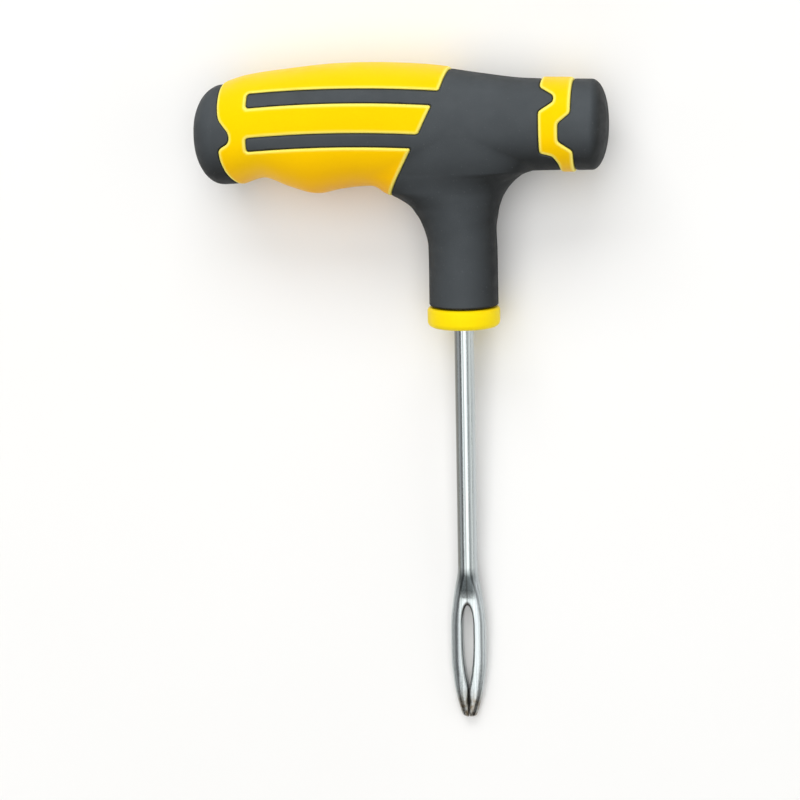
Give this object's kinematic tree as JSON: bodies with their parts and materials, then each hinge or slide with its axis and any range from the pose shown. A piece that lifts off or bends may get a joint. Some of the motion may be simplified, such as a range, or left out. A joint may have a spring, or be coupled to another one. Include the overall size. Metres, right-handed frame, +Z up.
{
  "type": "tyre plug insertion tool",
  "caption": "Hand tool that pushes a plug strip into a tyre puncture: a split-eye steel needle in an offset two-colour T-handle.",
  "frame": {"origin": "on the table, under the middle of the tool's bounding box, as it lies on its back", "axes": "+X along the handle's bar towards its short end, +Y from the needle's tip towards the handle, +Z up from the table"},
  "size_m": [0.0836, 0.1344, 0.0221],
  "materials": {
    "plated_steel": "bright plated steel with fine drawing lines",
    "core_plastic": "natural moulded plastic",
    "yellow_plastic": "satin moulded plastic, signal yellow",
    "black_rubber": "soft-touch overmould, fine matt grain, charcoal"
  },
  "bodies": {
    "root": {"needle_shank": "plated_steel", "inner_core": "core_plastic", "yellow_grip_sleeve": "yellow_plastic", "yellow_band": "yellow_plastic", "collar_ring": "yellow_plastic", "main_grip": "black_rubber", "left_end_cap": "black_rubber", "right_end_cap": "black_rubber"}
  },
  "joints": []
}
